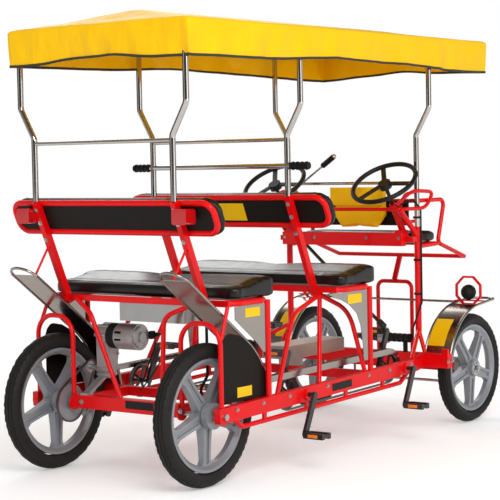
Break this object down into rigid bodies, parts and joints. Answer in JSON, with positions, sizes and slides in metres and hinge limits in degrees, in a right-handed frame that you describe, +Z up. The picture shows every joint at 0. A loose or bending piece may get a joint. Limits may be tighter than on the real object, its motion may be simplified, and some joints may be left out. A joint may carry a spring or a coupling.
{
  "type": "pedal quadricycle",
  "caption": "Open four-wheeled pedal cycle with two bench seats, twin steering wheels, cast wheels and a fabric canopy on chrome posts.",
  "frame": {"origin": "on the ground under the middle of the overall box", "axes": "+X forward, +Y to the riders left, +Z up"},
  "size_m": [2.5103, 1.31, 1.906],
  "materials": {
    "red_paint": "glossy red powder coat",
    "black_board": "black laminate",
    "black_vinyl": "glossy black vinyl",
    "stainless": "polished stainless sheet",
    "chrome_tube": "chrome plating",
    "black_rubber": "ribbed rubber",
    "yellow_canvas": "coated canvas",
    "cast_silver": "silver painted casting",
    "tyre_rubber": "road tyre",
    "axle_steel": "zinc plated",
    "tread_plate": "chequer plate",
    "motor_metal": "cast and turned aluminium",
    "black_paint": "gloss black",
    "lens_red": "red lens",
    "wheel_vinyl": "moulded black"
  },
  "bodies": {
    "chassis": {"backrest_boards": "black_board", "backrest_pads": "black_vinyl", "bench_frame": "red_paint", "brake_lever": "axle_steel", "canopy": "yellow_canvas", "canopy_frame": "axle_steel", "canopy_posts": "chrome_tube", "chain_guards": "stainless", "control_cables": "black_rubber", "controller_box": "motor_metal", "drive_chains": "axle_steel", "drive_motor": "motor_metal", "fenders": "stainless", "front_seat_frame": "red_paint", "front_subframe": "red_paint", "guard_plates": "black_board", "hand_grips": "black_rubber", "horn_balls": "black_rubber", "lamp_rings": "red_paint", "pouch": "yellow_canvas", "rear_axles": "axle_steel", "rear_seat_frame": "red_paint", "rear_subframe": "red_paint", "seat_cushions": "black_vinyl", "side_panels": "stainless", "side_rails": "red_paint", "step_box": "tread_plate", "tail_lamps": "lens_red"},
    "rear_wheel_left_body": {"rear_wheel_left": "cast_silver", "rear_tyre_left": "tyre_rubber"},
    "rear_wheel_right_body": {"rear_wheel_right": "cast_silver", "rear_tyre_right": "tyre_rubber"},
    "front_wheel_left_body": {"front_wheel_left": "cast_silver", "front_tyre_left": "tyre_rubber"},
    "front_wheel_right_body": {"front_wheel_right": "cast_silver", "front_tyre_right": "tyre_rubber"},
    "knuckle_left_body": {"knuckle_left": "axle_steel"},
    "knuckle_right_body": {"knuckle_right": "axle_steel"},
    "tie_rod_body": {"tie_rod": "axle_steel"},
    "steering_wheel_left_body": {"steering_wheel_left": "wheel_vinyl"},
    "steering_wheel_right_body": {"steering_wheel_right": "wheel_vinyl"},
    "rear_crank_left_body": {"rear_crank_left": "black_paint"},
    "rear_crank_right_body": {"rear_crank_right": "black_paint"},
    "front_crank_left_body": {"front_crank_left": "black_paint"},
    "front_crank_right_body": {"front_crank_right": "black_paint"}
  },
  "joints": [
    {"name": "steer_left", "type": "hinge", "parent": "chassis", "child": "knuckle_left_body", "pos_m": [0.99375, 0.362, 0.262], "axis": [0, 0, 1], "range_deg": [-25, 25]},
    {"name": "steer_right", "type": "hinge", "parent": "chassis", "child": "knuckle_right_body", "pos_m": [0.99375, -0.362, 0.262], "axis": [0, 0, 1], "range_deg": [-25.5, 25.5]},
    {"name": "tie_rod_pivot", "type": "hinge", "parent": "knuckle_left_body", "child": "tie_rod_body", "pos_m": [0.89875, 0.362, 0.2], "axis": [0, 0, 1], "range_deg": [-25.5, 25.5]},
    {"name": "steering_wheel_left_turn", "type": "hinge", "parent": "chassis", "child": "steering_wheel_left_body", "pos_m": [0.48975, 0.317, 1.167], "axis": [-0.5592, 0, 0.829], "range_deg": [-46, 46]},
    {"name": "steering_wheel_right_turn", "type": "hinge", "parent": "chassis", "child": "steering_wheel_right_body", "pos_m": [0.48975, -0.317, 1.167], "axis": [-0.5592, 0, 0.829], "range_deg": [-46, 46]},
    {"name": "front_wheel_left_spin", "type": "hinge", "parent": "knuckle_left_body", "child": "front_wheel_left_body", "pos_m": [0.99375, 0.462, 0.2615], "axis": [0, 1, 0], "continuous": true},
    {"name": "rear_wheel_left_spin", "type": "hinge", "parent": "chassis", "child": "rear_wheel_left_body", "pos_m": [-0.96925, 0.404, 0.286], "axis": [0, 1, 0], "continuous": true},
    {"name": "front_wheel_right_spin", "type": "hinge", "parent": "knuckle_right_body", "child": "front_wheel_right_body", "pos_m": [0.99375, -0.462, 0.2615], "axis": [0, 1, 0], "continuous": true},
    {"name": "rear_wheel_right_spin", "type": "hinge", "parent": "chassis", "child": "rear_wheel_right_body", "pos_m": [-0.96925, -0.404, 0.286], "axis": [0, 1, 0], "continuous": true},
    {"name": "rear_crank_left_turn", "type": "hinge", "parent": "chassis", "child": "rear_crank_left_body", "pos_m": [-0.41725, 0.495, 0.3082], "axis": [0, 1, 0], "continuous": true},
    {"name": "front_crank_left_turn", "type": "hinge", "parent": "chassis", "child": "front_crank_left_body", "pos_m": [0.35075, 0.495, 0.33213], "axis": [0, 1, 0], "continuous": true},
    {"name": "rear_crank_right_turn", "type": "hinge", "parent": "chassis", "child": "rear_crank_right_body", "pos_m": [-0.41725, -0.495, 0.3082], "axis": [0, 1, 0], "continuous": true},
    {"name": "front_crank_right_turn", "type": "hinge", "parent": "chassis", "child": "front_crank_right_body", "pos_m": [0.35075, -0.495, 0.33213], "axis": [0, 1, 0], "continuous": true}
  ],
  "couplings": [
    {"joint": "steer_right", "follows": "steer_left", "ratio": 1},
    {"joint": "tie_rod_pivot", "follows": "steer_left", "ratio": -1},
    {"joint": "steering_wheel_left_turn", "follows": "steer_left", "ratio": 1.8},
    {"joint": "steering_wheel_right_turn", "follows": "steer_left", "ratio": 1.8}
  ]
}
